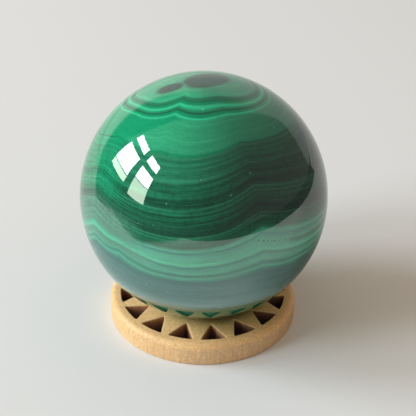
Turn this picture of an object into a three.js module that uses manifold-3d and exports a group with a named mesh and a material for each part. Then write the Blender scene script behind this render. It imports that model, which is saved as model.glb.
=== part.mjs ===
// A polished malachite ball standing on its turned wooden ring, in millimetres, +Z up.
// The origin is the centre of the ring's underside, and -Y is the side with a window of the ring
// straight ahead. Two loose pieces: the ball, and the ring with its sixteen three-cornered windows.
import * as THREE from "three";
import { mergeVertices } from "three/addons/utils/BufferGeometryUtils.js";
import Module from "manifold-3d";

const wasm = await Module();
wasm.setup();

// Driving dimensions
const BALL_RADIUS = 30;
const BALL_HEIGHT = 33.7; // of the ball's centre above the table
const RING_RADIUS = 23.6;
const RIM_TOP = 5.65; // height of the sloping top where the rounded edge begins
const EDGE_RADIUS = 1.7; // of the rounded upper edge
const FOOT_BEVEL = 0.4; // of the lower edges
const SEAT_RADIUS = 11.7; // of the circle on which the ball rests
const SEAT_WIDTH = 1.4; // of the conical seat, measured level
const SEAT_CLEARANCE = 0.05; // between the ball and its seat

// The windows: each has an arched outer side and a point towards the middle
const WINDOW_COUNT = 16;
const WINDOW_OUTER_RADIUS = 20.9;
const WINDOW_POINT_RADIUS = 15.3;
const WINDOW_HALF_ANGLE = THREE.MathUtils.degToRad(8.6);
const WINDOW_CORNER = 0.2; // radius of the rounded corners

// Fineness of the faceted surfaces
const AROUND = 64;
const BALL_BANDS = 32;
const EDGE_STEPS = 4;
const CORNER_STEPS = 3;
const ARCH_STEPS = 4;
const CUT_MARGIN = 1; // how far a window's cutter stands out above and below the ring

const STONE = new THREE.MeshStandardMaterial({ color: 0x1d7a55, roughness: 0.08, metalness: 0 });
const WOOD = new THREE.MeshStandardMaterial({ color: 0xdcb98a, roughness: 0.6, metalness: 0 });

// A closed geometry as a solid, with its shared vertices merged.
function solidOf(geometry) {
  const bare = geometry.clone();
  bare.deleteAttribute("normal");
  bare.deleteAttribute("uv");
  const merged = mergeVertices(bare, 1e-4);
  return new wasm.Manifold(
    new wasm.Mesh({
      numProp: 3,
      vertProperties: merged.attributes.position.array,
      triVerts: new Uint32Array(merged.index.array),
    }),
  );
}

// A solid as a geometry.
function geometryOf(solid) {
  const mesh = solid.getMesh();
  const geometry = new THREE.BufferGeometry();
  geometry.setAttribute("position", new THREE.BufferAttribute(mesh.vertProperties, 3));
  geometry.setIndex(new THREE.BufferAttribute(mesh.triVerts, 1));
  geometry.computeVertexNormals();
  return geometry;
}

// The ball: a sphere of turned and polished malachite, with its poles on the vertical axis.
function ball() {
  const geometry = new THREE.SphereGeometry(BALL_RADIUS, AROUND, BALL_BANDS);
  geometry.rotateX(Math.PI / 2);
  const mesh = new THREE.Mesh(geometry, STONE);
  mesh.name = "malachite_ball";
  mesh.position.z = BALL_HEIGHT;
  return mesh;
}

// Height of the conical seat at a radius: the cone touches the ball along the circle SEAT_RADIUS.
function seatHeight(radius) {
  const contactAngle = Math.asin(SEAT_RADIUS / BALL_RADIUS);
  const contactHeight = BALL_HEIGHT - BALL_RADIUS * Math.cos(contactAngle) - SEAT_CLEARANCE;
  return contactHeight + (radius - SEAT_RADIUS) * Math.tan(contactAngle);
}

// The ring's section, radius by height, counted anticlockwise: flat foot, upright side,
// rounded upper edge, top that rises gently to the seat, conical seat and straight bore.
function ringSection() {
  const bore = SEAT_RADIUS - SEAT_WIDTH / 2;
  const seatEdge = SEAT_RADIUS + SEAT_WIDTH / 2;
  const points = [
    new THREE.Vector2(bore + FOOT_BEVEL, 0),
    new THREE.Vector2(RING_RADIUS - FOOT_BEVEL, 0),
    new THREE.Vector2(RING_RADIUS, FOOT_BEVEL),
  ];
  for (let i = 0; i <= EDGE_STEPS; i += 1) {
    const turn = (i / EDGE_STEPS) * (Math.PI / 2);
    points.push(
      new THREE.Vector2(
        RING_RADIUS - EDGE_RADIUS * (1 - Math.cos(turn)),
        RIM_TOP - EDGE_RADIUS * (1 - Math.sin(turn)),
      ),
    );
  }
  points.push(new THREE.Vector2(seatEdge, seatHeight(seatEdge)));
  points.push(new THREE.Vector2(bore, seatHeight(bore)));
  points.push(new THREE.Vector2(bore, FOOT_BEVEL));
  points.push(points[0].clone());
  return points;
}

// A point at a radius and an angle.
function polar(radius, angle) {
  return new THREE.Vector2(radius * Math.cos(angle), radius * Math.sin(angle));
}

// Points along an arc about a centre, from one angle to another.
function arcPoints(centre, radius, from, to, steps) {
  const points = [];
  for (let i = 0; i <= steps; i += 1) {
    points.push(polar(radius, from + ((to - from) * i) / steps).add(centre));
  }
  return points;
}

// The outline of the window that lies on the +X axis: an arch around the ring's axis and two
// straight sides that meet in a point, with all three corners rounded.
function windowShape() {
  const point = polar(WINDOW_POINT_RADIUS, 0);
  const corner = polar(WINDOW_OUTER_RADIUS, WINDOW_HALF_ANGLE);
  const slope = Math.atan2(corner.y - point.y, corner.x - point.x);
  // Centre of the rounding at the point, where both sides are tangent to it
  const pointCentre = new THREE.Vector2(point.x + WINDOW_CORNER / Math.sin(slope), 0);
  // Centre of the rounding at the upper outer corner, which touches the arch and the side
  const reach = WINDOW_OUTER_RADIUS - WINDOW_CORNER;
  const cornerAngle = slope - Math.asin((pointCentre.x * Math.sin(slope)) / reach);
  const cornerCentre = polar(reach, cornerAngle);
  const lowerCentre = polar(reach, -cornerAngle);
  const turn = slope + Math.PI / 2;
  return new THREE.Shape([
    ...arcPoints(lowerCentre, WINDOW_CORNER, -turn, -cornerAngle, CORNER_STEPS),
    ...arcPoints(new THREE.Vector2(), WINDOW_OUTER_RADIUS, -cornerAngle, cornerAngle, ARCH_STEPS),
    ...arcPoints(cornerCentre, WINDOW_CORNER, cornerAngle, turn, CORNER_STEPS),
    ...arcPoints(pointCentre, WINDOW_CORNER, turn, 2 * Math.PI - turn, CORNER_STEPS),
  ]);
}

// The ring: its section turned about the axis, less the windows, one of which faces -Y.
function ring() {
  const turned = new THREE.LatheGeometry(ringSection(), AROUND);
  turned.rotateX(Math.PI / 2);
  let solid = solidOf(turned);
  const depth = seatHeight(SEAT_RADIUS + SEAT_WIDTH / 2) + 2 * CUT_MARGIN;
  const cutter = new THREE.ExtrudeGeometry(windowShape(), { depth, bevelEnabled: false });
  cutter.translate(0, 0, -CUT_MARGIN);
  for (let i = 0; i < WINDOW_COUNT; i += 1) {
    const placed = cutter.clone().rotateZ((i / WINDOW_COUNT) * 2 * Math.PI - Math.PI / 2);
    solid = solid.subtract(solidOf(placed));
  }
  const mesh = new THREE.Mesh(geometryOf(solid), WOOD);
  mesh.name = "wooden_ring";
  return mesh;
}

const group = new THREE.Group();
group.add(ring(), ball());

export default group;
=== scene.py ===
"""A polished malachite ball on its turned wooden ring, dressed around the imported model.

Metres, +Z up; the origin is the middle of the ring's underside and -Y is the front.
Azimuths count from the front towards +X, in degrees.
"""

import bpy
import numpy as np
from mathutils import Matrix, Vector


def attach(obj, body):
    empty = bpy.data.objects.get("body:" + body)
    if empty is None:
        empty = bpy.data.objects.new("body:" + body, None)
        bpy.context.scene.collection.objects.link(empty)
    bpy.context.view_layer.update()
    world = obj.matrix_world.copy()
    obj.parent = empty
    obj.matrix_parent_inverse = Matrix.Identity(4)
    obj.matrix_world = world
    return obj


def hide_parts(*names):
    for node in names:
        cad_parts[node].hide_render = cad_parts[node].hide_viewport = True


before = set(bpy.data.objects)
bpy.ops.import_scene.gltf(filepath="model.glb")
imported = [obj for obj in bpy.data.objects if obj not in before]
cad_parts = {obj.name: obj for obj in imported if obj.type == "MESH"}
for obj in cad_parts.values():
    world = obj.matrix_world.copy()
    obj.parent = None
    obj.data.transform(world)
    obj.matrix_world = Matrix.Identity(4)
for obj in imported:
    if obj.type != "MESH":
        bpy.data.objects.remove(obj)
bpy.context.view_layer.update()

MM = 0.001


# Sizes in millimetres and degrees

BALL_RADIUS = 30.0
BALL_HEIGHT = 33.7
RING_RADIUS = 23.6
RIM_TOP = 5.65
EDGE_RADIUS = 1.7
FOOT_BEVEL = 0.4
SEAT_RADIUS = 11.7
SEAT_WIDTH = 1.4
SEAT_CLEARANCE = 0.05
WINDOW_COUNT = 16
WINDOW_OUTER_RADIUS = 20.9
WINDOW_POINT_RADIUS = 15.3
WINDOW_HALF_ANGLE = 8.6
WINDOW_CORNER = 0.2


# Mesh helpers

def direction(azimuth, elevation):
    """Unit vectors: (sin az cos el, -cos az cos el, sin el), so azimuth 0 is the front."""
    az, el = np.radians(azimuth), np.radians(elevation)
    return np.stack([np.sin(az) * np.cos(el), -np.cos(az) * np.cos(el), np.sin(el) + 0 * az], -1)


def grid_faces(rows, columns):
    """Quads of a grid whose points are counted row by row; the columns close into a loop."""
    row = np.arange(rows - 1)[:, None] * columns
    here = np.arange(columns)[None, :]
    after = (here + 1) % columns
    quads = [row + here, row + after, row + columns + after, row + columns + here]
    return np.stack(quads, -1).reshape(-1, 4)


def make_piece(name, points, faces, material):
    """A smooth-shaded mesh object from points in metres and faces of three or four corners."""
    mesh = bpy.data.meshes.new(name)
    mesh.from_pydata(points.tolist(), [], [f.tolist() for f in faces])
    mesh.polygons.foreach_set("use_smooth", np.ones(len(mesh.polygons), bool))
    mesh.materials.append(material)
    mesh.update()
    piece = bpy.data.objects.new(name, mesh)
    bpy.context.scene.collection.objects.link(piece)
    return piece


def mark_points(piece, name, values):
    """A number or a vector kept at each point of the piece, for its material to read."""
    kind = "FLOAT" if values.ndim == 1 else "FLOAT_VECTOR"
    layer = piece.data.attributes.new(name, kind, "POINT")
    field = "value" if values.ndim == 1 else "vector"
    layer.data.foreach_set(field, np.ascontiguousarray(values, np.float32).ravel())


# The stone's growth

EYE = direction(222.0, 85.7)          # where the bands close into an eye, near the top
SECOND_EYE = direction(-114.8, 64.9)  # a smaller bud beside it
SECOND_START = 14.0                   # the level at which the bud begins
BUD_BLEND = 4.2                       # how softly the two meet

# The dark ovals at the two eyes, seen from above: middle and half sizes in millimetres, angle
OVALS = [((0.5, 1.0), (5.6, 3.9), 23.0), ((-8.1, -0.5), (3.0, 1.9), -2.0)]
FAR_OFF = 5.0                         # the reach at which an oval no longer counts

# Creases where two lobes of the stone meet: turn about the eye, distance from it, spread,
# height, and the reach to either side, all in degrees
CREASES = [
    (-30.0, 27.4, 17.4, 5.9, 42.5, 30.8),
    (18.3, 68.0, 33.5, 12.9, 68.1, 88.6),
    (-64.4, 84.0, 38.3, 14.0, 89.9, 68.9),
    (-47.8, 92.2, 6.3, 2.8, 10.1, 103.8),
    (97.0, 62.0, 24.0, 7.5, 34.0, 44.0),
    (152.0, 84.0, 30.0, 9.0, 46.0, 30.0),
    (-122.0, 70.0, 22.0, 8.0, 30.0, 38.0),
    (-168.0, 96.0, 26.0, 7.0, 34.0, 30.0),
]

# Where the bands are drawn in across the eye's narrow direction, in degrees: how far that
# direction is turned, the distance from the eye, its spread, and by how much
NARROW_TURN = -1.8
NARROW_DISTANCE = 22.3
NARROW_SPREAD = 10.7
NARROWING = 10.4

# How far the bands lie beyond all that, in degrees: a row per level, a column per turn
SHIFT_TURNS = [-180, -95, -60, -42, -25, -10, 5, 20, 38, 56, 90, 180]
SHIFT_LEVELS = [8, 32, 44, 51, 59, 74, 86, 98, 107, 118]
SHIFTS = np.array([
    [0.0, -0.1, -1.5, -1.6, -1.4, -1.0, -0.8, -0.5, -0.4, -0.1, 0.7, 0.0],
    [0.0, -0.3, -1.0, -0.7, -0.6, -0.5, -0.5, -0.4, -0.2, 0.2, 0.6, 0.0],
    [0.0, -0.3, -0.7, -0.7, -0.6, -0.8, -1.0, -1.0, -0.5, 0.1, 0.7, 0.0],
    [0.0, -0.2, -0.2, -0.3, -0.5, -1.0, -1.5, -1.4, -0.9, -0.1, 0.6, 0.0],
    [0.0, -0.2, -0.2, -0.3, -0.2, -0.7, -1.5, -1.5, -0.9, -0.1, 0.5, 0.0],
    [0.0, -0.4, -0.2, -0.1, -0.1, -0.8, -1.6, -1.3, -0.8, -0.3, 0.0, 0.0],
    [0.0, -0.5, -0.2, 0.0, -0.2, -0.6, -1.2, -1.1, -0.7, -0.6, -0.6, 0.0],
    [0.0, -0.9, -0.5, -0.4, -0.4, -0.1, -0.2, -0.7, -1.2, -1.3, -1.3, 0.0],
    [0.0, -1.5, -1.3, -1.1, -0.7, -0.6, -0.9, -1.6, -2.2, -2.2, -2.0, 0.0],
    [0.0, -2.2, -2.7, -2.8, -2.4, -1.9, -2.2, -2.7, -3.1, -2.9, -2.5, 0.0],
])


def eye_frame():
    """The eye's axis, the level direction nearest the front, and the one towards +X."""
    front = np.array([0.0, -1.0, 0.0])
    front = front - EYE * (front @ EYE)
    front = front / np.linalg.norm(front)
    return EYE, front, -np.cross(front, EYE)


def growth_level(points, away, turn):
    """How late each point of the stone was laid down, in degrees from the eye.

    It is the distance from the eye, rounded into the distance from the second bud where that is
    less, drawn in across the eye's narrow direction, and raised along each crease: a bell
    across the distance times a peak (1 - |turn| / reach) squared around the eye. The table of
    shifts is added last.
    """
    bud = np.degrees(np.arccos(np.clip(points @ SECOND_EYE, -1, 1))) + SECOND_START
    mix = np.clip(0.5 + 0.5 * (bud - away) / BUD_BLEND, 0, 1)
    level = bud * (1 - mix) + away * mix - BUD_BLEND * mix * (1 - mix)
    narrow = (1 - np.cos(np.radians(2 * (turn - NARROW_TURN)))) / 2
    bell = np.exp(-((away - NARROW_DISTANCE) / NARROW_SPREAD) ** 2)
    level = level - NARROWING * bell * narrow
    for at, distance, spread, height, before, after in CREASES:
        offset = (turn - at + 180) % 360 - 180
        reach = np.where(offset < 0, before, after)
        peak = np.clip(1 - np.abs(offset) / reach, 0, None) ** 2
        level = level + height * np.exp(-((away - distance) / spread) ** 2) * peak
    return level + shift_at(level, (turn + 180) % 360 - 180)


def shift_at(level, turn):
    """The shift at each point, read evenly between the rows and the columns of the table."""
    row = np.clip(np.interp(level, SHIFT_LEVELS, np.arange(len(SHIFT_LEVELS))), 0,
                  len(SHIFT_LEVELS) - 1.001)
    column = np.clip(np.interp(turn, SHIFT_TURNS, np.arange(len(SHIFT_TURNS))), 0,
                     len(SHIFT_TURNS) - 1.001)
    i, j = row.astype(int), column.astype(int)
    v, u = row - i, column - j
    upper = SHIFTS[i, j] * (1 - u) + SHIFTS[i, j + 1] * u
    lower = SHIFTS[i + 1, j] * (1 - u) + SHIFTS[i + 1, j + 1] * u
    return upper * (1 - v) + lower * v


def smooth(value, low, high):
    """A share that rises from 0 at low to 1 at high along 3t^2 - 2t^3."""
    t = np.clip((value - low) / (high - low), 0, 1)
    return t * t * (3 - 2 * t)


# Patches of the stone: their turns about the eye, their levels and their strength. Four numbers
# are a soft edge in, from the first to the second, and one out, from the third to the fourth.
# The stone darkened on the right, away from the light: partly its own darker green, partly painted
# shade
SHADE_TURNS = (-24, 24, 85, 130)
SHADE_BY_LEVEL = [(0, 0.47), (20, 0.47), (24, 0.3), (31, 0.3), (34, 0.6), (46, 0.66), (50, 0.7),
                  (55, 0.92), (67, 1.0), (75, 0.72), (79, 0.85), (86, 0.85), (90, 0.1), (98, 0)]
# Painted shade on the ball's lower right, where it mirrors the table in the ball's own shadow
FOOT_PAINTED_SHADE = ((14, 40, 85, 130), (104.5, 108, 124, 132), 0.34)
DARK_STREAK = ((28, 37, 60, 75), 95.8, 0.8, 0.9)  # turns, level, spread, strength
CALM_ABOVE = ((-95, -80, -48, -32), (80, 86, 95.3, 96.5), 1.0)
CALM_PINCH = ((-95, -80, -40, -26), (97.8, 98.5, 100.7, 101.7), 0.85)
WEDGE_LEVELS = (31.6, 32.6, 52, 60)
WEDGE_EDGE = [(32.2, -20.6), (36, -30.8), (37.5, -39.6), (40.5, -47.4), (48, -58)]
WEDGE_SOFT = 3
WEDGE_END = (-110, -90)
EMERALD_EDGE = ((-115, -95, -60, -42), (52, 60, 76, 83), 0.62)


def plateau(value, limits):
    """A share of 1 between two soft edges: smooth(first two) times 1 - smooth(last two)."""
    return smooth(value, *limits[:2]) * (1 - smooth(value, *limits[2:]))


def patch(turn, level, turns, levels, strength):
    """A patch's share: its plateau in turn times its plateau in level times its strength."""
    return strength * plateau(turn, turns) * plateau(level, levels)


def stone_patches(level, turn):
    """Three shares at each point: shade, calm and emerald.

    Shade is how far the stone is darkened on the right, away from the light: partly its own darker
    green and partly painted shade, with painted shade on its foot, and a thin dark streak along a
    band that falls off as exp(-d^2) in level. Calm is where the belt's bands fade beside a crease.
    Emerald is a wedge of purer green under the crown's lines and a fainter patch below it on
    the left. Where two parts meet, the larger share counts.
    """
    shade = plateau(turn, SHADE_TURNS) * np.interp(level, *np.transpose(SHADE_BY_LEVEL))
    shade = np.maximum(shade, patch(turn, level, *FOOT_PAINTED_SHADE))
    turns, middle, spread, strength = DARK_STREAK
    streak = strength * plateau(turn, turns) * np.exp(-((level - middle) / spread) ** 2)
    shade = np.maximum(shade, streak)
    calm = np.maximum(patch(turn, level, *CALM_ABOVE), patch(turn, level, *CALM_PINCH))
    edge = np.interp(level, *np.transpose(WEDGE_EDGE))
    turns = (*WEDGE_END, edge - WEDGE_SOFT, edge + WEDGE_SOFT)
    emerald = np.maximum(patch(turn, level, turns, WEDGE_LEVELS, 1.0),
                         patch(turn, level, *EMERALD_EDGE))
    return np.stack([shade, calm, emerald], -1)


def oval_reach(points, centre, axes, angle, squareness=2.4):
    """How far out each point lies from an oval's middle, 1 on its edge, seen from above.

    The oval is |u / a|^n + |v / b|^n = 1, with u along its long axis and n its squareness, in
    millimetres. Points on the lower half of the ball count as far away.
    """
    x, y = (points[:, :2] * BALL_RADIUS - np.array(centre)).T
    c, s = np.cos(np.radians(angle)), np.sin(np.radians(angle))
    along = np.abs(c * x + s * y) / axes[0]
    across = np.abs(c * y - s * x) / axes[1]
    reach = (along ** squareness + across ** squareness) ** (1 / squareness)
    return np.where(points[:, 2] > 0, np.minimum(reach, FAR_OFF), FAR_OFF)


def malachite_ball(material, rows=214, columns=440):
    """The ball: points at its radius, counted by angle from the eye and by turn about it.

    A point's normal is cos(away) eye + sin(away) (cos(turn) front + sin(turn) side).
    """
    axis, front, side = eye_frame()
    away = np.linspace(0, 180, rows)[1:-1, None]
    turn = (np.arange(columns) * 360 / columns)[None, :]
    a, b = np.radians(away)[..., None], np.radians(turn)[..., None]
    normal = np.cos(a) * axis + np.sin(a) * (np.cos(b) * front + np.sin(b) * side)
    normal = np.concatenate([normal.reshape(-1, 3), axis[None], -axis[None]])
    away, turn = np.broadcast_arrays(away, turn)
    away = np.append(away.ravel(), [0.0, 180.0])
    turn = np.append(turn.ravel(), [0.0, 0.0])
    level = growth_level(normal, away, turn)
    points = normal * BALL_RADIUS + np.array([0, 0, BALL_HEIGHT])

    here = np.arange(columns)
    after = (here + 1) % columns
    last = (rows - 3) * columns
    top = np.stack([np.full(columns, len(points) - 2), here, after], -1)
    foot = np.stack([np.full(columns, len(points) - 1), last + after, last + here], -1)
    side_faces = grid_faces(rows - 2, columns)[:, ::-1]
    piece = make_piece("polished_ball", points * MM, [*side_faces, *top, *foot], material)
    mark_points(piece, "growth", level)
    rays = np.stack([np.cos(np.radians(turn)), np.sin(np.radians(turn)), 0 * turn], -1)
    mark_points(piece, "ray", rays)
    mark_points(piece, "patches", stone_patches(level, (turn + 180) % 360 - 180))
    ovals = [oval_reach(normal, *oval) for oval in OVALS]
    mark_points(piece, "ovals", np.stack([*ovals, 0 * level], -1))
    return piece


# The ring

def seat_height(radius):
    """Height of the conical seat: the cone touches the ball along the seat circle."""
    contact = np.arcsin(SEAT_RADIUS / BALL_RADIUS)
    height = BALL_HEIGHT - BALL_RADIUS * np.cos(contact) - SEAT_CLEARANCE
    return height + (radius - SEAT_RADIUS) * np.tan(contact)


BORE = SEAT_RADIUS - SEAT_WIDTH / 2
SEAT_EDGE = SEAT_RADIUS + SEAT_WIDTH / 2
TOP_OUTER = RING_RADIUS - EDGE_RADIUS


def top_height(radius):
    """Height of the ring's top: a straight line from the rim up to the seat's edge."""
    rise = seat_height(SEAT_EDGE) - RIM_TOP
    return RIM_TOP + rise * (TOP_OUTER - radius) / (TOP_OUTER - SEAT_EDGE)


def arc(centre, radius, start, end, steps):
    """Points along an arc about a centre, angles in radians."""
    turn = np.linspace(start, end, steps + 1)[:, None]
    return np.array(centre) + radius * np.concatenate([np.cos(turn), np.sin(turn)], 1)


def window_outline(arch, slant, tip, corner=4, fine=24):
    """One window on the +X axis as a closed loop, in four runs that share their ends.

    The runs are the arch about the ring's axis with half of each rounded corner, a straight
    side, the rounded point, and the other side. Each is drawn first, with corner steps to half
    a rounding and fine steps to the arch, and then sampled evenly along its length.
    """
    point = np.array([WINDOW_POINT_RADIUS, 0.0])
    half = np.radians(WINDOW_HALF_ANGLE)
    outer = WINDOW_OUTER_RADIUS * np.array([np.cos(half), np.sin(half)])
    slope = np.arctan2(*(outer - point)[::-1])
    tip_centre = point[0] + WINDOW_CORNER / np.sin(slope)
    reach = WINDOW_OUTER_RADIUS - WINDOW_CORNER
    at = slope - np.arcsin(tip_centre * np.sin(slope) / reach)
    centre = reach * np.array([np.cos(at), np.sin(at)])
    turn = slope + np.pi / 2
    middle = (at + turn) / 2
    flip = np.array([1.0, -1.0])

    half_corner = arc(centre, WINDOW_CORNER, at, middle, corner)
    arch_line = np.concatenate([
        half_corner[::-1] * flip, arc((0, 0), WINDOW_OUTER_RADIUS, -at, at, fine), half_corner,
    ])
    rest_of_corner = arc(centre, WINDOW_CORNER, middle, turn, corner)
    tip_line = arc((tip_centre, 0), WINDOW_CORNER, turn, 2 * np.pi - turn, 2 * corner)
    side_line = np.concatenate([rest_of_corner, tip_line[:1]])

    def even(line, steps):
        """The same line with its points at even distances along it."""
        gaps = np.linalg.norm(np.diff(line, axis=0), axis=1)
        run = np.append(0, np.cumsum(gaps))
        keep = np.linspace(0, run[-1], steps + 1)
        return np.stack([np.interp(keep, run, line[:, k]) for k in (0, 1)], 1)

    up = even(side_line, slant)
    runs = [even(arch_line, arch)[:-1], up[:-1], even(tip_line, tip)[:-1], (up * flip)[::-1][:-1]]
    return np.concatenate(runs)


def cell_edge(arch, slant, tip, inner, outer):
    """The edge of one cell of the ring as (angle, radius), sample for sample like the window.

    It runs along the outer circle, down one side, along the inner circle and up the other.
    """
    half = np.pi / WINDOW_COUNT
    across = np.linspace(-half, half, arch + 1)[:-1]
    down = np.linspace(outer, inner, slant + 1)[:-1]
    back = np.linspace(half, -half, tip + 1)[:-1]
    up = np.linspace(inner, outer, slant + 1)[:-1]
    angle = np.concatenate([across, 0 * down + half, back, 0 * up - half])
    radius = np.concatenate([0 * across + outer, down, 0 * back + inner, up])
    return angle, radius


# How dark the windows' walls are, scorched and with painted shade deepening towards the bottom,
# by depth below the top as a share of the whole
SCORCH_AND_SHADE_BY_DEPTH = [(0.04, 0.28), (0.12, 0.38), (0.25, 0.53), (0.4, 0.7), (0.6, 0.86), (0.8, 0.95),
                   (1.0, 1.0)]
LIP_SCORCH = 0.2  # at the inner end of the rounded lip
LIP_TURNS = np.radians([22.5, 45, 67.5, 90])
FOOT_LIP_TURNS = np.radians([30, 60, 90])

# Rows of points between a cell's edge and its window, as shares of the way, closer together
# towards the window on the top
TOP_ROWS = np.linspace(0, 1, 9) ** 0.8
UNDER_ROWS = (0.75, 0.5, 0.25, 0.0)


def wooden_ring(material, arch=22, slant=14, tip=8, lip=0.22, foot_lip=0.15):
    """The ring: sixteen cells with a window each, and turned strips for its edges and sides.

    A cell's top is a blend from the cell's edge to the window's outline. A small quarter
    round leads into the window, its wall goes straight down, and a smaller round and another
    blend close the underside.
    """
    outline = window_outline(arch, slant, tip)
    ahead = np.roll(outline, -1, 0) - np.roll(outline, 1, 0)
    ahead = ahead / np.linalg.norm(ahead, axis=1, keepdims=True)
    outward = np.stack([ahead[:, 1], -ahead[:, 0]], 1)

    def polar(points):
        """Angle and radius of points on the level."""
        return np.arctan2(points[:, 1], points[:, 0]), np.hypot(points[:, 0], points[:, 1])

    rows, scorch_shade = [], []

    def add_row(points, height, scorch_and_shade):
        """One more row of the cell, at a height, and how dark it is, scorched and in painted shade.
        """
        rows.append(np.concatenate([points, np.broadcast_to(height, (len(points),))[:, None]], 1))
        scorch_shade.append(np.full(len(points), scorch_and_shade))

    def between(edge, start, share):
        """Points on the level part of the way from the cell's edge to the window, and radii."""
        angle, radius = (e + (s - e) * share for e, s in zip(edge, start))
        return np.stack([radius * np.cos(angle), radius * np.sin(angle)], 1), radius

    edge = cell_edge(arch, slant, tip, SEAT_EDGE, TOP_OUTER)
    start = polar(outline + outward * lip)
    for share in TOP_ROWS:
        place, radius = between(edge, start, share)
        add_row(place, top_height(radius), 0.0)
    lip_top = top_height(polar(outline)[1])
    for turn in LIP_TURNS:
        place = outline + outward * lip * (1 - np.sin(turn))
        add_row(place, lip_top - lip * (1 - np.cos(turn)), turn / (np.pi / 2) * LIP_SCORCH)
    wall_top = lip_top - lip
    for share, scorch_and_shade in SCORCH_AND_SHADE_BY_DEPTH:
        add_row(outline, wall_top + (foot_lip - wall_top) * share, scorch_and_shade)
    for turn in FOOT_LIP_TURNS:
        place = outline + outward * foot_lip * (1 - np.cos(turn))
        add_row(place, foot_lip * (1 - np.sin(turn)), 1.0 - turn / (np.pi / 2))
    edge = cell_edge(arch, slant, tip, BORE + FOOT_BEVEL, RING_RADIUS - FOOT_BEVEL)
    start = polar(outline + outward * foot_lip)
    for share in UNDER_ROWS:
        add_row(between(edge, start, share)[0], 0.0, 0.0)
    cell = np.concatenate(rows)
    cell_scorch_shade = np.concatenate(scorch_shade)
    cell_faces = grid_faces(len(rows), len(outline))

    parts, scorch_shades, faces = [], [], []
    size = 0
    for i in range(WINDOW_COUNT):
        turn = np.radians(i * 360 / WINDOW_COUNT - 90)
        spin = np.array([[np.cos(turn), np.sin(turn), 0], [-np.sin(turn), np.cos(turn), 0],
                         [0, 0, 1]])
        parts.append(cell @ spin)
        scorch_shades.append(cell_scorch_shade)
        faces.append(cell_faces + size)
        size += len(cell)

    def strip(profile, steps):
        """A section turned about the axis, with the same angles as the cells it meets.

        A point is (radius cos(angle), radius sin(angle), height).
        """
        nonlocal size
        angles = np.radians(np.arange(WINDOW_COUNT * steps) * 360 / (WINDOW_COUNT * steps)
                            - 90 - 180 / WINDOW_COUNT)
        radius, height = np.array(profile).T
        ring = np.stack([radius[:, None] * np.cos(angles), radius[:, None] * np.sin(angles),
                         height[:, None] + 0 * angles], -1).reshape(-1, 3)
        parts.append(ring)
        scorch_shades.append(np.zeros(len(ring)))
        faces.append(grid_faces(len(profile), WINDOW_COUNT * steps)[:, ::-1] + size)
        size += len(ring)

    turn = np.radians(np.linspace(90, 0, 11))
    rim = [(TOP_OUTER + EDGE_RADIUS * np.cos(t), RIM_TOP - EDGE_RADIUS * (1 - np.sin(t)))
           for t in turn]
    side = [(RING_RADIUS, z) for z in np.linspace(RIM_TOP - EDGE_RADIUS, FOOT_BEVEL, 6)[1:]]
    turn = np.radians(np.linspace(0, 90, 4))[1:]
    foot = [(RING_RADIUS - FOOT_BEVEL * (1 - np.cos(t)), FOOT_BEVEL * (1 - np.sin(t)))
            for t in turn]
    strip(rim + side + foot, arch)
    seat = [(r, seat_height(r)) for r in np.linspace(SEAT_EDGE, BORE, 5)]
    bore = [(BORE, z) for z in np.linspace(seat_height(BORE), FOOT_BEVEL, 6)[1:]]
    under = [(BORE + FOOT_BEVEL * (1 - np.cos(t)), FOOT_BEVEL * (1 - np.sin(t))) for t in turn]
    strip((seat + bore + under)[::-1], tip)

    # Where the parts meet, their points are made one; adding zero makes -0 the same as 0
    points = np.concatenate(parts)
    key = np.round(points, 4) + 0.0
    _, first, where = np.unique(key, axis=0, return_index=True, return_inverse=True)
    faces = where.ravel()[np.concatenate(faces)]
    piece = make_piece("turned_ring", points[first] * MM, list(faces), material)
    mark_points(piece, "scorch_shade", np.concatenate(scorch_shades)[first])
    return piece


# Node helpers

def add(tree, kind, feeds=None, **settings):
    """A node of that kind, its settings, and what each input is set to or fed from."""
    made = tree.nodes.new(kind)
    for name, value in settings.items():
        setattr(made, name, value)
    for name, value in (feeds or {}).items():
        socket = made.inputs[name]
        if isinstance(value, bpy.types.NodeSocket):
            tree.links.new(value, socket)
        else:
            socket.default_value = value
    return made


def maths(tree, operation, *values):
    """The result of a Math node."""
    return add(tree, "ShaderNodeMath", dict(enumerate(values)), operation=operation).outputs[0]


def blend(tree, share, first, second, kind="MIX"):
    """Two colours mixed by a share."""
    made = add(tree, "ShaderNodeMix", {0: share, 6: first, 7: second}, data_type="RGBA",
               blend_type=kind)
    return made.outputs[2]


def ramp_up(tree, value, low, high):
    """A share that rises smoothly from 0 where the value is low to 1 where it is high."""
    made = add(tree, "ShaderNodeMapRange", {"Value": value, "From Min": low, "From Max": high},
               interpolation_type="SMOOTHSTEP")
    return made.outputs[0]


def ramp_down(tree, value, low, high):
    """A share that falls smoothly from 1 where the value is low to 0 where it is high."""
    made = add(tree, "ShaderNodeMapRange", {"Value": value, "From Min": low, "From Max": high,
                                            "To Min": 1.0, "To Max": 0.0},
               interpolation_type="SMOOTHSTEP")
    return made.outputs[0]


def new_material(name):
    """An empty material and its node tree."""
    material = bpy.data.materials.new(name)
    material.use_nodes = True
    material.node_tree.nodes.clear()
    return material, material.node_tree


def colour(red, green, blue):
    """An opaque colour from its linear red, green and blue."""
    return (red, green, blue, 1.0)


# The stone

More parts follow.
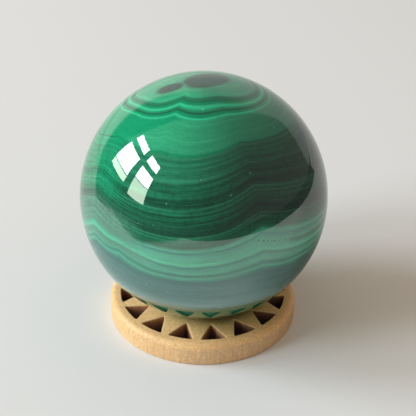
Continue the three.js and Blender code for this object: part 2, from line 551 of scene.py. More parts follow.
NIGHT = colour(0.003, 0.045, 0.024)
DARK = colour(0.006, 0.084, 0.045)
DEEP = colour(0.008, 0.125, 0.063)
SHADE = colour(0.012, 0.176, 0.086)
MIDDLE = colour(0.024, 0.232, 0.114)
EMERALD = colour(0.002, 0.280, 0.118)
PURE = colour(0.002, 0.305, 0.133)
LEAF = colour(0.030, 0.362, 0.174)
LIGHT = colour(0.044, 0.425, 0.208)
BRIGHT = colour(0.022, 0.505, 0.242)
BRIGHTEST = colour(0.026, 0.560, 0.270)
BELT_DARK = colour(0.006, 0.192, 0.132)
BELT_MIDDLE = colour(0.030, 0.315, 0.202)
BELT_LIGHT = colour(0.042, 0.372, 0.224)
BELT_BRIGHT = colour(0.054, 0.455, 0.262)
FOOT_DARK = colour(0.012, 0.138, 0.114)
FOOT_GREY = colour(0.034, 0.164, 0.138)
# Partly the foot's own pale grey-green and partly painted reflection of the pale table
FOOT_PALE_AND_REFLECTION = colour(0.078, 0.240, 0.215)
CALM_TINT = colour(0.062, 0.222, 0.145)
# What the stone's right side is multiplied by: partly darker stone, partly painted shade
SHADE_TINT = colour(0.22, 0.25, 0.29)
PIT_TINT = colour(0.004, 0.070, 0.055)
TEAL_TINT = colour(0.10, 0.52, 0.36)
PALE_TINT = colour(0.36, 0.46, 0.36)
SPECK_TINT = colour(0.16, 0.46, 0.30)

# The bands in the order they grew: level in degrees, colour
BANDS = [
    (0.0, MIDDLE), (7.0, LEAF), (13.4, LEAF), (14.6, LIGHT), (16.4, LIGHT), (17.2, MIDDLE),
    (20.0, SHADE), (20.9, EMERALD), (21.9, EMERALD), (22.7, LIGHT), (23.4, BRIGHTEST),
    (24.0, BRIGHTEST), (25.0, LEAF), (25.7, EMERALD), (26.5, MIDDLE), (27.2, DEEP),
    (27.8, DEEP), (28.4, EMERALD), (29.9, EMERALD), (30.3, LEAF), (30.7, BRIGHTEST),
    (31.1, BRIGHTEST), (31.9, LEAF), (34.2, LEAF), (34.7, LIGHT), (35.4, LEAF), (42.2, LEAF),
    (43.0, LIGHT), (44.0, LEAF), (48.2, LEAF), (49.3, EMERALD), (50.1, MIDDLE), (51.0, MIDDLE),
    (52.3, SHADE), (53.7, MIDDLE), (55.0, SHADE), (56.5, MIDDLE), (58.4, SHADE), (60.4, MIDDLE),
    (61.4, MIDDLE), (62.6, DEEP), (64.0, SHADE), (65.4, DEEP), (66.8, SHADE), (68.2, SHADE),
    (69.6, DARK), (72.0, DARK), (73.0, DEEP), (73.6, MIDDLE), (74.3, DEEP), (75.4, SHADE),
    (76.4, DARK), (77.4, SHADE), (78.3, DEEP), (79.4, DARK), (80.0, DEEP), (81.4, DARK),
    (84.4, DARK), (85.1, MIDDLE), (85.8, DEEP), (86.5, SHADE), (87.2, DEEP), (90.0, DEEP),
    (91.3, BELT_LIGHT), (91.9, BELT_MIDDLE), (92.6, BELT_DARK), (93.6, BELT_MIDDLE),
    (95.2, BELT_LIGHT), (96.4, BELT_LIGHT), (97.5, BELT_BRIGHT), (98.3, BELT_BRIGHT),
    (99.0, BELT_DARK), (99.8, BELT_MIDDLE), (100.6, BELT_LIGHT), (101.3, BELT_LIGHT),
    (102.0, BELT_DARK), (102.4, BELT_DARK), (103.3, BELT_LIGHT), (104.4, BELT_DARK),
    (105.4, FOOT_DARK), (107.0, FOOT_GREY), (114.0, FOOT_GREY), (119.0, FOOT_PALE_AND_REFLECTION),
    (123.0, FOOT_PALE_AND_REFLECTION), (124.2, FOOT_DARK), (127.0, SHADE), (131.0, DEEP),
    (133.0, SHADE), (136.0, DEEP), (139.0, DARK), (141.0, DEEP), (143.0, MIDDLE),
    (146.0, EMERALD), (150.0, LEAF), (152.0, LIGHT), (154.0, DEEP), (157.0, DARK),
    (160.0, MIDDLE), (163.0, LEAF), (165.0, BRIGHT), (167.0, EMERALD), (172.0, DEEP),
    (178.0, DARK), (184.0, MIDDLE),
]
STOPS_PER_RAMP = 32


def ramp_colours(tree, level, bands):
    """The bands' colours by level, from the first one's level to the last one's."""
    first, last = bands[0][0], bands[-1][0]
    share = add(tree, "ShaderNodeMapRange", {"Value": level, "From Min": first, "From Max": last})
    ramp = add(tree, "ShaderNodeValToRGB", {"Fac": share.outputs[0]})
    stops = ramp.color_ramp.elements
    while len(stops) < len(bands):
        stops.new(0.5)
    for stop, (at, tint) in zip(stops, bands):
        stop.position = (at - first) / (last - first)
        stop.color = tint
    return ramp.outputs["Color"]


def band_colours(tree, level, bands):
    """The colours of any number of bands, from ramps that each carry on where one ends."""
    step = STOPS_PER_RAMP - 1
    tint = ramp_colours(tree, level, bands[:STOPS_PER_RAMP])
    for start in range(step, len(bands) - 1, step):
        further = ramp_colours(tree, level, bands[start:start + STOPS_PER_RAMP])
        past = maths(tree, "GREATER_THAN", level, bands[start][0])
        tint = blend(tree, past, tint, further)
    return tint


def noise(tree, place, scale, detail=2.0, roughness=0.5):
    """Smooth noise around 0, from about -1 to 1."""
    made = add(tree, "ShaderNodeTexNoise", {"Vector": place, "Scale": scale, "Detail": detail,
                                            "Roughness": roughness})
    return maths(tree, "MULTIPLY_ADD", made.outputs["Fac"], 4.0, -2.0)


def smudges_group():
    """Faint smudges from handling, from 0 to 1 and mostly about a half, for both materials."""
    group = bpy.data.node_groups.new("smudges", "ShaderNodeTree")
    group.interface.new_socket("Place", in_out="INPUT", socket_type="NodeSocketVector")
    group.interface.new_socket("Share", in_out="OUTPUT", socket_type="NodeSocketFloat")
    place = add(group, "NodeGroupInput").outputs[0]
    clouds = add(group, "ShaderNodeTexNoise", {"Vector": place, "Scale": 75.0, "Detail": 4.0,
                                               "Roughness": 0.6}).outputs["Fac"]
    add(group, "NodeGroupOutput", {0: ramp_up(group, clouds, 0.3, 0.7)})
    return group


SMUDGES = smudges_group()


def by_level(tree, level, start, end, low, high):
    """A number that goes evenly from low to high between two levels."""
    made = add(tree, "ShaderNodeMapRange", {"Value": level, "From Min": start, "From Max": end,
                                            "To Min": low, "To Max": high})
    return made.outputs[0]


def spot(tree, place, azimuth, latitude, wide, high):
    """A share of 1 in the middle of a small oval on the ball and 0 outside it."""
    centre = direction(azimuth, latitude) * BALL_RADIUS + np.array([0, 0, BALL_HEIGHT])
    offset = add(tree, "ShaderNodeVectorMath", {0: place, 1: tuple(centre * MM)},
                 operation="SUBTRACT")
    share = (1 / (wide * MM), 1 / (wide * MM), 1 / (high * MM))
    scaled = add(tree, "ShaderNodeVectorMath", {0: offset.outputs[0], 1: share},
                 operation="MULTIPLY")
    length = add(tree, "ShaderNodeVectorMath", {0: scaled.outputs[0]}, operation="LENGTH")
    return ramp_down(tree, length.outputs["Value"], 0.4, 1.0)


# Small inclusions: azimuth and latitude in degrees, half width and half height in millimetres
PITS = [
    (16.2, 7.9, 0.42, 0.26), (18.4, 7.2, 0.50, 0.30), (20.4, 6.6, 0.38, 0.26),
    (22.4, 6.1, 0.30, 0.20), (24.0, 5.8, 0.52, 0.28), (26.6, 5.2, 0.44, 0.25),
    (29.6, 4.4, 0.34, 0.24), (33.0, 3.4, 0.46, 0.26), (38.0, 2.3, 0.36, 0.20),
    (96.0, 31.0, 0.40, 0.30), (148.0, 12.0, 0.35, 0.25), (-140.0, 22.0, 0.40, 0.25),
]
TEAL_FLECKS = [
    (-24.6, -19.4, 0.16, 0.75), (-67.4, -12.7, 0.42, 0.7), (-77.0, 19.5, 0.3, 0.25),
    (-30.2, 14.6, 0.16, 0.16), (-11.0, 68.7, 0.5, 0.3), (120.0, -14.0, 0.3, 0.6),
    (-151.0, 8.0, 0.35, 0.5),
]
PALE_FLECKS = [
    (-34.5, -17.4, 0.26, 0.24), (-9.6, 35.7, 0.2, 0.18), (-37.5, 13.7, 0.18, 0.15),
    (-14.8, -24.3, 0.16, 0.14), (75.0, 20.0, 0.2, 0.2), (-104.0, 33.0, 0.22, 0.2),
]

# Fine dark lines of their own: level, half width, and how strongly they show
WAVY_LINES = [(49.7, 0.24, 0.60), (52.4, 0.26, 0.50)]

# Fine rings around the two eyes: strength, the reach at which they have died away, and which
# part of the noise they are read from
EYE_RINGS = [(0.13, 2.2, 5.2), (0.20, 3.4, 8.0)]
RINGS_PER_REACH = 3.6
OVAL_RIMS = [0.10, 0.22]  # half width of each oval's soft rim, as a share of its reach
OVAL_HALO = 1.1           # the reach at which the paler rim of an oval is half as strong
OVAL_CORE = 0.96          # and the same for its dark inside

# The levels over which the dark middle begins, and those over which the belt takes its place
MIDDLE_FROM = (46.0, 64.0)
BELT_FROM = (88.0, 94.0)

# How strongly the finer layers change the stone's brightness: everywhere, how much more in the
# middle, and how much more in the belt
LAYER_SHARES = {
    "broad bands": (0.04, 0.10, 0.0),
    "pinstripes": (0.18, 0.46, 0.10),
    "fibres": (0.05, 0.12, 0.0),
    "mottle": (0.04, 0.0, 0.0),
    "crystal grain": (0.08, 0.08, 0.0),
}
WAVER = 0.20       # of the bands, in degrees of level
WIDE_WAVER = 0.42  # of the fine dark lines
STONE_IOR = 1.9


def malachite():
    """Polished banded malachite: bands by growth level, with everything finer laid over them."""
    material, tree = new_material("malachite")
    place = add(tree, "ShaderNodeTexCoord").outputs["Object"]
    grown = add(tree, "ShaderNodeAttribute", attribute_name="growth").outputs["Fac"]
    ray = add(tree, "ShaderNodeAttribute", attribute_name="ray").outputs["Vector"]
    patches = add(tree, "ShaderNodeAttribute", attribute_name="patches").outputs["Vector"]
    shade, calm, emerald = add(tree, "ShaderNodeSeparateXYZ", {0: patches}).outputs
    ovals = add(tree, "ShaderNodeAttribute", attribute_name="ovals").outputs["Vector"]
    ovals = add(tree, "ShaderNodeSeparateXYZ", {0: ovals}).outputs

    # The bands waver a little
    level = maths(tree, "MULTIPLY_ADD", noise(tree, place, 150.0, 3.0), WAVER, grown)
    tint = band_colours(tree, level, BANDS)
    tint = blend(tree, emerald, tint, PURE)
    tint = blend(tree, maths(tree, "MULTIPLY", calm, 0.8), tint, CALM_TINT)

    # Pinstripes along the bands, fibres across them, and crystal grain
    rays = add(tree, "ShaderNodeSeparateXYZ", {0: ray}).outputs

    def along(level_scale, ray_scale):
        """A place for noise that is stretched along the bands or across them."""
        parts = {0: maths(tree, "MULTIPLY", rays[0], ray_scale),
                 1: maths(tree, "MULTIPLY", rays[1], ray_scale),
                 2: maths(tree, "MULTIPLY", level, level_scale)}
        return add(tree, "ShaderNodeCombineXYZ", parts).outputs[0]

    broad = noise(tree, along(0.55, 1.3), 1.0, 1.0)
    layers = {
        "broad bands": broad,
        "pinstripes": noise(tree, along(2.0, 2.6), 1.0, 3.0, 0.75),
        "fibres": noise(tree, along(0.25, 30.0), 1.0, 3.0, 0.6),
        "mottle": noise(tree, place, 130.0, 3.0),
        "crystal grain": noise(tree, place, 1900.0, 2.0, 0.7),
    }
    in_middle = maths(tree, "MULTIPLY", by_level(tree, level, *MIDDLE_FROM, 0.0, 1.0),
                      by_level(tree, level, *BELT_FROM, 1.0, 0.0))
    in_belt = by_level(tree, level, *BELT_FROM, 0.0, 1.0)
    value = 1.0
    for name, layer in layers.items():
        everywhere, middle, belt = LAYER_SHARES[name]
        share = maths(tree, "MULTIPLY_ADD", in_middle, middle, everywhere)
        share = maths(tree, "MULTIPLY_ADD", in_belt, belt, share)
        value = maths(tree, "MULTIPLY_ADD", layer, share, value)

    wandering = maths(tree, "MULTIPLY_ADD", noise(tree, place, 420.0, 2.0), WIDE_WAVER, level)
    for at, half, strong in WAVY_LINES:
        off = maths(tree, "ABSOLUTE", maths(tree, "SUBTRACT", wandering, at))
        line = maths(tree, "MULTIPLY", ramp_down(tree, off, 0.0, 2 * half),
                     ramp_up(tree, broad, -0.5, 0.4))
        value = maths(tree, "MULTIPLY", value, maths(tree, "MULTIPLY_ADD", line, -strong, 1.0))

    # The rings of each eye, from a noise that reads only how far out a place lies
    for reach, (strong, last, part) in zip(ovals, EYE_RINGS):
        outwards = add(tree, "ShaderNodeCombineXYZ",
                       {0: maths(tree, "MULTIPLY", reach, RINGS_PER_REACH), 1: part}).outputs[0]
        rings = maths(tree, "MULTIPLY", noise(tree, outwards, 1.0, 2.0, 0.6),
                      ramp_down(tree, reach, 1.0, last))
        value = maths(tree, "MULTIPLY_ADD", rings, strong, value)
    tint = add(tree, "ShaderNodeVectorMath", {0: tint, "Scale": value},
               operation="SCALE").outputs[0]
    # The shade patch: partly the stone's darker green on the right, partly painted shade away from
    # the light
    tint = blend(tree, shade, tint, SHADE_TINT, "MULTIPLY")

    # The dark ovals of the two eyes, cloudy inside, their edges a little uneven
    cloudy = blend(tree, ramp_up(tree, noise(tree, place, 500.0, 3.0), -0.6, 1.2), NIGHT, DARK)
    for reach, rim in zip(ovals, OVAL_RIMS):
        uneven = maths(tree, "MULTIPLY_ADD", noise(tree, place, 300.0, 3.0), 0.07, reach)
        halo = ramp_down(tree, uneven, OVAL_HALO - rim, OVAL_HALO + rim)
        core = ramp_down(tree, uneven, OVAL_CORE - rim, OVAL_CORE + rim)
        tint = blend(tree, maths(tree, "MULTIPLY", halo, 0.7), tint, SHADE)
        tint = blend(tree, core, tint, cloudy)

    # Small inclusions
    for spots, strong, spot_tint in ((PITS, 0.8, PIT_TINT), (TEAL_FLECKS, 0.8, TEAL_TINT),
                                     (PALE_FLECKS, 0.7, PALE_TINT)):
        mask = 0.0
        for placed in spots:
            mask = maths(tree, "MAXIMUM", mask, spot(tree, place, *placed))
        tint = blend(tree, maths(tree, "MULTIPLY", mask, strong), tint, spot_tint)

    # Pinpoint specks, in a few cells of a scatter
    cells = add(tree, "ShaderNodeTexVoronoi", {"Vector": place, "Scale": 430.0})
    chance = add(tree, "ShaderNodeSeparateXYZ", {0: cells.outputs["Color"]}).outputs[0]
    speck = maths(tree, "MULTIPLY", ramp_down(tree, cells.outputs["Distance"], 0.04, 0.13),
                  maths(tree, "GREATER_THAN", chance, 0.93))
    tint = blend(tree, maths(tree, "MULTIPLY", speck, 0.5), tint, SPECK_TINT)

    # Polish: hardly any relief, and faint smears
    smudged = add(tree, "ShaderNodeGroup", {0: place}, node_tree=SMUDGES).outputs[0]
    smear = maths(tree, "MULTIPLY_ADD", smudged, 0.012, 0.024)
    relief = add(tree, "ShaderNodeBump", {"Height": noise(tree, place, 260.0, 2.0),
                                          "Strength": 0.02, "Distance": 0.2 * MM})
    shader = add(tree, "ShaderNodeBsdfPrincipled",
                 {"Base Color": tint, "Roughness": smear, "IOR": STONE_IOR,
                  "Normal": relief.outputs[0]})
    add(tree, "ShaderNodeOutputMaterial", {"Surface": shader.outputs[0]})
    return material


# The wood

TOP_WOOD = colour(0.900, 0.552, 0.250)
SIDE_WOOD = colour(0.74, 0.480, 0.256)
DARKER_WOOD = colour(0.66, 0.350, 0.130)

# How the wood changes into the windows: a paler edge, then darker down the walls, scorched and in
# painted shade
SCORCH_AND_SHADE_TONES = [
    (0.0, colour(0.86, 0.56, 0.26)), (0.06, colour(0.95, 0.69, 0.38)),
    (0.15, colour(0.83, 0.50, 0.22)), (0.3, colour(0.56, 0.28, 0.125)),
    (0.55, colour(0.31, 0.145, 0.090)), (0.8, colour(0.17, 0.080, 0.070)),
    (1.0, colour(0.095, 0.056, 0.062)),
]
WOOD_IOR = 1.45


def pale_wood():
    """Pale turned wood, its grain along X: fibres, pores and flecks, tool marks, scorched walls in
    painted shade, and painted light and shade near the seat.
    """
    material, tree = new_material("pale_wood")
    place = add(tree, "ShaderNodeTexCoord").outputs["Object"]
    x, y, z = add(tree, "ShaderNodeSeparateXYZ", {0: place}).outputs
    scorch_shade = add(tree, "ShaderNodeAttribute", attribute_name="scorch_shade").outputs["Fac"]
    flat = add(tree, "ShaderNodeCombineXYZ", {0: x, 1: y}).outputs[0]
    radius = add(tree, "ShaderNodeVectorMath", {0: flat}, operation="LENGTH").outputs["Value"]

    def stretched(*scales):
        """The place with each axis scaled, for noise that runs along one of them."""
        return add(tree, "ShaderNodeVectorMath", {0: place, 1: scales},
                   operation="MULTIPLY").outputs[0]

    # The lower part of the side is a little redder than the rest, most of all towards +X
    wobble = noise(tree, place, 160.0, 2.0)
    height = maths(tree, "MULTIPLY_ADD", wobble, -0.4 * MM, z)
    lower = maths(tree, "MULTIPLY", ramp_down(tree, height, 3.8 * MM, 5.0 * MM),
                  ramp_up(tree, radius, 22.4 * MM, 23.2 * MM))
    redder = maths(tree, "MULTIPLY_ADD", ramp_up(tree, x, -18 * MM, 4 * MM), 0.6, 0.4)
    tint = blend(tree, maths(tree, "MULTIPLY", lower, redder), TOP_WOOD, SIDE_WOOD)

    # Broad streaks of growth, fine fibres and dark pores along the grain, and fine flecks
    growth = noise(tree, stretched(9.0, 150.0, 150.0), 1.0, 2.0, 0.6)
    fibre = noise(tree, stretched(120.0, 1500.0, 1500.0), 1.0, 3.0, 0.7)
    pores = noise(tree, stretched(330.0, 2300.0, 2300.0), 1.0, 2.0, 0.6)
    pores = ramp_up(tree, pores, 0.55, 1.0)
    flecks = noise(tree, place, 2000.0, 2.0, 0.75)
    value = 1.0
    for layer, share in ((growth, 0.05), (fibre, 0.045), (flecks, 0.21), (pores, -0.16)):
        value = maths(tree, "MULTIPLY_ADD", layer, share, value)

    # Painted shade near the seat, under the ball, strongest towards +X where the ball's shadow
    # falls, and painted light on the wood of the other side there, where the window's light reaches
    # under it
    outwards = maths(tree, "MULTIPLY_ADD", wobble, -0.3 * MM, radius)
    darker = maths(tree, "MULTIPLY_ADD", ramp_up(tree, x, -12 * MM, 6 * MM), 0.62, 0.08)
    darker = maths(tree, "MULTIPLY", ramp_down(tree, outwards, 13.0 * MM, 17.5 * MM), darker)
    paler = maths(tree, "MULTIPLY", ramp_down(tree, outwards, 18.5 * MM, 21.0 * MM),
                  ramp_down(tree, x, -8 * MM, 4 * MM))
    seat_light_and_shade = maths(tree, "MULTIPLY_ADD", paler, 0.09, maths(tree, "SUBTRACT", 1.0, darker))
    value = maths(tree, "MULTIPLY", value, seat_light_and_shade)

    # Flecks of a warmer brown
    warm = ramp_up(tree, noise(tree, stretched(1000.0, 1800.0, 1800.0), 1.0, 2.0, 0.7), 0.0, 1.1)
    tint = blend(tree, maths(tree, "MULTIPLY", warm, 0.55), tint, DARKER_WOOD)

    # Upright tool marks on the side
    marks = noise(tree, stretched(2000.0, 2000.0, 220.0), 1.0, 2.0, 0.65)
    marks = maths(tree, "MULTIPLY", marks, ramp_up(tree, radius, 22.6 * MM, 23.5 * MM))
    value = maths(tree, "MULTIPLY_ADD", marks, 0.16, value)
    tint = add(tree, "ShaderNodeVectorMath", {0: tint, "Scale": value},
               operation="SCALE").outputs[0]

    # Faint stains
    stained = add(tree, "ShaderNodeGroup", {0: place}, node_tree=SMUDGES).outputs[0]
    tint = blend(tree, maths(tree, "MULTIPLY", stained, 0.16), tint, DARKER_WOOD)

    # The scorched walls of the windows, streaked from top to bottom, in painted shade that deepens
    # down them and, towards +X, in the painted shadow of the ball
    streaks = noise(tree, stretched(1700.0, 1700.0, 130.0), 1.0, 3.0, 0.65)
    scorch_and_shade = maths(tree, "MULTIPLY_ADD", streaks,
                  maths(tree, "MULTIPLY", ramp_up(tree, scorch_shade, 0.0, 0.3), 0.12), scorch_shade)
    # Painted shadow of the ball: the walls towards +X drawn darker
    further = maths(tree, "MULTIPLY", ramp_up(tree, scorch_shade, 0.15, 0.35),
                    ramp_up(tree, x, -2 * MM, 14 * MM))
    scorch_and_shade = maths(tree, "MULTIPLY_ADD", further, 0.26, scorch_and_shade)
    tint = blend(tree, ramp_up(tree, scorch_shade, 0.0, 0.06), tint, ramp_colours(tree, scorch_and_shade, SCORCH_AND_SHADE_TONES))

    # Satin, rougher where it is stained or scorched, with pores, fibres and tool marks in relief
    rough = maths(tree, "MULTIPLY_ADD", stained, 0.10, 0.46)
    rough = maths(tree, "MULTIPLY_ADD", scorch_shade, 0.2, rough)
    bumps = maths(tree, "MULTIPLY_ADD", pores, -1.0, maths(tree, "MULTIPLY", fibre, 0.4))
    bumps = maths(tree, "MULTIPLY_ADD", marks, 0.7, bumps)
    relief = add(tree, "ShaderNodeBump", {"Height": bumps, "Strength": 0.35,
                                          "Distance": 0.06 * MM})
    shader = add(tree, "ShaderNodeBsdfPrincipled",
                 {"Base Color": tint, "Roughness": rough, "IOR": WOOD_IOR,
                  "Normal": relief.outputs[0]})
    add(tree, "ShaderNodeOutputMaterial", {"Surface": shader.outputs[0]})
    return material


# Pieces

ball = malachite_ball(malachite())
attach(ball, "root")
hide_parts("malachite_ball")

ring = wooden_ring(pale_wood())
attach(ring, "root")
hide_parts("wooden_ring")


# Table, surroundings and light

FLOOR_HALF = 4.0
BACKDROP = colour(0.75, 0.74, 0.76)
TABLE_TINT = colour(0.78, 0.78, 0.78)
BLACK = colour(0.0, 0.0, 0.0)
TABLE_LIFT = colour(0.28, 0.28, 0.29)   # added to its mirrored front half
UNLIT = colour(0.13, 0.13, 0.125)       # mirrored outside its edges
DISTANT = colour(0.60, 0.59, 0.58)      # its mirrored far part
MIRRORED_SHADOW = 0.52

# The table's edges as the polished stone mirrors them, in metres: an offset, and how fast the
# edge moves out with Y. "Opens" is the Y from which an edge moves out faster, and how fast. The
# left side is made of three parts, and the cut corner at the front right also moves with X. A
# mirrored ray that meets the floor outside the edges sees the dark surroundings instead.
TABLE_FRONT = 0.211
TABLE_CORNER = (0.24, 0.797)
TABLE_CORNER_BY_X = -0.605
TABLE_RIGHT = (0.29, 0.28)
TABLE_RIGHT_OPENS = (0.155, 1.8)
TABLE_LEFT_FRONT = 0.095
TABLE_LEFT_OPENS = (-0.06, 2.75)
TABLE_LEFT_MIDDLE = (0.26, -1.32)
TABLE_LEFT_BACK = (0.092, 1.15)


def table_material():
    """A pale table, with the light and shade that the stone mirrors but the eye doesn't see."""
    material, tree = new_material("pale_table")
    place = add(tree, "ShaderNodeTexCoord").outputs["Object"]
    x, y, _ = add(tree, "ShaderNodeSeparateXYZ", {0: place}).outputs
    reach = add(tree, "ShaderNodeVectorMath", {0: place}, operation="LENGTH").outputs["Value"]

    def moving(offset, by_y):
        """An edge that moves out with Y: offset + by_y times Y."""
        return maths(tree, "MULTIPLY_ADD", y, by_y, offset)

    def opening(edge, start, by_y):
        """An edge moved out by by_y times how far Y is past the start."""
        past = maths(tree, "MAXIMUM", maths(tree, "SUBTRACT", y, start), 0.0)
        return maths(tree, "MULTIPLY_ADD", past, by_y, edge)

    # How far inside each edge a place lies, and whether it is inside them all
    left = maths(tree, "MINIMUM", opening(TABLE_LEFT_FRONT, *TABLE_LEFT_OPENS),
                 moving(*TABLE_LEFT_MIDDLE))
    left = maths(tree, "ADD", maths(tree, "MAXIMUM", left, moving(*TABLE_LEFT_BACK)), x)
    right = maths(tree, "SUBTRACT", opening(moving(*TABLE_RIGHT), *TABLE_RIGHT_OPENS), x)
    front = maths(tree, "ADD", y, TABLE_FRONT)
    corner = maths(tree, "MULTIPLY_ADD", x, TABLE_CORNER_BY_X, moving(*TABLE_CORNER))
    inside = 1.0
    for edge, soft in ((left, 0.018), (right, 0.01), (front, 0.004), (corner, 0.008)):
        inside = maths(tree, "MULTIPLY", inside, ramp_up(tree, edge, -soft, soft))
    path = add(tree, "ShaderNodeLightPath")
    mirrored = path.outputs["Is Glossy Ray"]
    hidden = maths(tree, "MULTIPLY", mirrored, maths(tree, "SUBTRACT", 1.0, inside))

    # The stone mirrors the table's front half brighter, and the shadow to the right darker
    near = ramp_down(tree, y, -0.06, 0.0)
    lift = add(tree, "ShaderNodeEmission", {"Color": TABLE_LIFT,
                                            "Strength": maths(tree, "MULTIPLY", near, mirrored)})
    shadow = maths(tree, "MULTIPLY", ramp_up(tree, x, 0.010, 0.034),
                   ramp_down(tree, reach, 0.040, 0.080))
    shadow = maths(tree, "MULTIPLY", shadow, mirrored)
    tint = blend(tree, maths(tree, "MULTIPLY", shadow, MIRRORED_SHADOW), TABLE_TINT, BLACK)
    lit = add(tree, "ShaderNodeBsdfDiffuse", {"Color": tint})
    shown = add(tree, "ShaderNodeAddShader", {0: lit.outputs[0], 1: lift.outputs[0]})

    # Outside its edges the stone mirrors the dark surroundings; far away it mirrors the table as
    # bright as the wall behind it; and far away the table seen directly fades into the backdrop
    distant = maths(tree, "MULTIPLY", maths(tree, "MULTIPLY", mirrored, inside),
                    ramp_up(tree, reach, 0.4, 0.9))
    faded = maths(tree, "MULTIPLY", ramp_up(tree, reach, 0.42, 1.3), path.outputs["Is Camera Ray"])
    for share, glow in ((hidden, UNLIT), (distant, DISTANT), (faded, BACKDROP)):
        instead = add(tree, "ShaderNodeEmission", {"Color": glow})
        shown = add(tree, "ShaderNodeMixShader",
                    {0: share, 1: shown.outputs[0], 2: instead.outputs[0]})
    add(tree, "ShaderNodeOutputMaterial", {"Surface": shown.outputs[0]})
    return material


corners = np.array([[-1, -1, 0], [1, -1, 0], [1, 1, 0], [-1, 1, 0]]) * FLOOR_HALF
floor = make_piece("table", corners, [np.array([0, 1, 2, 3])], table_material())

LIGHT_DISTANCE = 1.5
PANE_LIGHT = 13.7
PANE_RISE = 0.05
COOL = (0.89, 1.0, 1.13)
GREENISH = (0.90, 1.08, 0.86)

# Panes of light at the left: the near and far ends along Y and the lower and upper edges, as
# shares of the light's distance, each pane's brightness and its colour
PANES = [
    ("rear_upper", 0.012, 0.466, 0.80, 0.985, 1.0, COOL),
    ("rear_middle", 0.012, 0.466, 0.335, 0.68, 1.0, COOL),
    ("rear_lower", 0.012, 0.466, 0.23, 0.32, 0.52, GREENISH),
    ("front_upper", -0.49, -0.13, 0.78, 0.98, 1.0, COOL),
    ("front_middle", -0.49, -0.13, 0.43, 0.66, 1.0, COOL),
    ("front_lower", -0.49, -0.13, 0.15, 0.415, 0.42, GREENISH),
]
for name, near, far, low, high, bright, tint in PANES:
    near, far, low, high = (LIGHT_DISTANCE * share for share in (near, far, low, high))
    light = bpy.data.lights.new("pane_" + name, "AREA")
    light.shape = "RECTANGLE"
    light.size, light.size_y = far - near, high - low
    light.color = tint
    light.energy = bright * PANE_LIGHT * np.pi * light.size * light.size_y
    lamp = bpy.data.objects.new("pane_" + name, light)
    lamp.matrix_world = Matrix.Translation(
        (-LIGHT_DISTANCE, (near + far) / 2, (low + high) / 2 + PANE_RISE)
    ) @ Vector((1, 0, 0)).to_track_quat("-Z", "Y").to_matrix().to_4x4()
    lamp.visible_camera = False
    bpy.context.scene.collection.objects.link(lamp)

# The pale wall that the stone mirrors, by direction. Its left and right edges are shares of X to
# Y: the left one at the horizon and how much it leans in with height, the right one up high and
# how much further out it lies down low. Soft edges are half widths.
WALL_LEFT = (-1.05, 1.4, 0.12)
WALL_RIGHT = (1.33, 0.95, 0.1)
WALL_RIGHT_NARROWS = (0.06, 0.42)  # between these heights
WALL_TOP = (0.5, 0.85)
WALL_BRIGHT = colour(0.93, 0.92, 0.91)
WALL_DIM = colour(0.43, 0.425, 0.42)
SIDE_DARK = colour(0.10, 0.10, 0.10)
SIDE_DIM = colour(0.22, 0.21, 0.20)

# The soft light that everything but the stone's mirror gets, at the sides and from overhead
FILL_SIDE = colour(0.12, 0.10, 0.085)
FILL_OVERHEAD = colour(0.60, 0.505, 0.40)


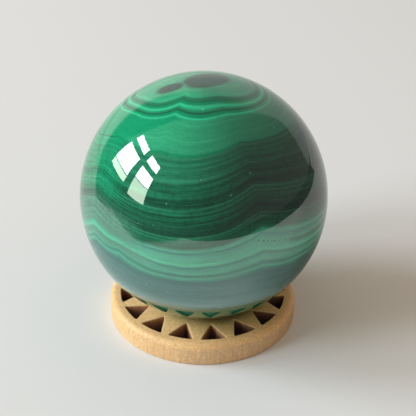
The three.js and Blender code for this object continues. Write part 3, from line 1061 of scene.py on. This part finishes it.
def surroundings():
    """A pale backdrop to look at, soft light, and for mirrored rays a pale wall in the dark."""
    world = bpy.data.worlds.new("surroundings")
    world.use_nodes = True
    tree = world.node_tree
    tree.nodes.clear()
    toward = add(tree, "ShaderNodeTexCoord").outputs["Generated"]
    x, y, z = add(tree, "ShaderNodeSeparateXYZ", {0: toward}).outputs

    # The wall lies behind the object, between its two edges and under its top
    across = maths(tree, "DIVIDE", x, maths(tree, "MAXIMUM", y, 0.05))
    edge, lean, soft = WALL_LEFT
    past_left = maths(tree, "SUBTRACT", across, maths(tree, "MULTIPLY_ADD", z, lean, edge))
    wall = ramp_up(tree, past_left, -soft, soft)
    edge, wider, soft = WALL_RIGHT
    right_edge = maths(tree, "MULTIPLY_ADD", ramp_down(tree, z, *WALL_RIGHT_NARROWS), wider, edge)
    before_right = maths(tree, "SUBTRACT", right_edge, across)
    for share in (ramp_up(tree, before_right, -soft, soft), ramp_up(tree, y, 0.02, 0.08),
                  ramp_down(tree, z, *WALL_TOP)):
        wall = maths(tree, "MULTIPLY", wall, share)

    wall_light = blend(tree, ramp_up(tree, x, -0.7, 1.1), WALL_BRIGHT, WALL_DIM)
    side_light = blend(tree, ramp_up(tree, x, -0.3, 0.9), SIDE_DARK, SIDE_DIM)
    mirror = add(tree, "ShaderNodeBackground", {"Color": blend(tree, wall, side_light, wall_light)})
    fill_light = blend(tree, ramp_up(tree, z, 0.1, 0.9), FILL_SIDE, FILL_OVERHEAD)
    fill = add(tree, "ShaderNodeBackground", {"Color": fill_light})
    pale = add(tree, "ShaderNodeBackground", {"Color": BACKDROP})
    path = add(tree, "ShaderNodeLightPath").outputs
    lit = add(tree, "ShaderNodeMixShader",
              {0: path["Is Glossy Ray"], 1: fill.outputs[0], 2: mirror.outputs[0]})
    seen = add(tree, "ShaderNodeMixShader",
               {0: path["Is Camera Ray"], 1: lit.outputs[0], 2: pale.outputs[0]})
    add(tree, "ShaderNodeOutputWorld", {"Surface": seen.outputs[0]})
    return world


bpy.context.scene.world = surroundings()


# Camera

CAMERA_PLACE = (-0.03082, -0.21929, 0.16013)
CAMERA_AXIS = (0.1240, 0.8531, -0.5067)
CAMERA_ROLL = 0.9
LENS = 90.66
lens = bpy.data.cameras.new("camera")
lens.lens = LENS
lens.sensor_width = 36
lens.clip_start = 0.01
lens.clip_end = 50
camera = bpy.data.objects.new("camera", lens)
turned = Vector(CAMERA_AXIS).to_track_quat("-Z", "Y").to_matrix().to_4x4()
roll = Matrix.Rotation(np.radians(CAMERA_ROLL), 4, "Z")
camera.matrix_world = Matrix.Translation(CAMERA_PLACE) @ turned @ roll
bpy.context.scene.collection.objects.link(camera)
bpy.context.scene.camera = camera

view = bpy.context.scene.view_settings
view.view_transform = "Standard"
view.look = "None"
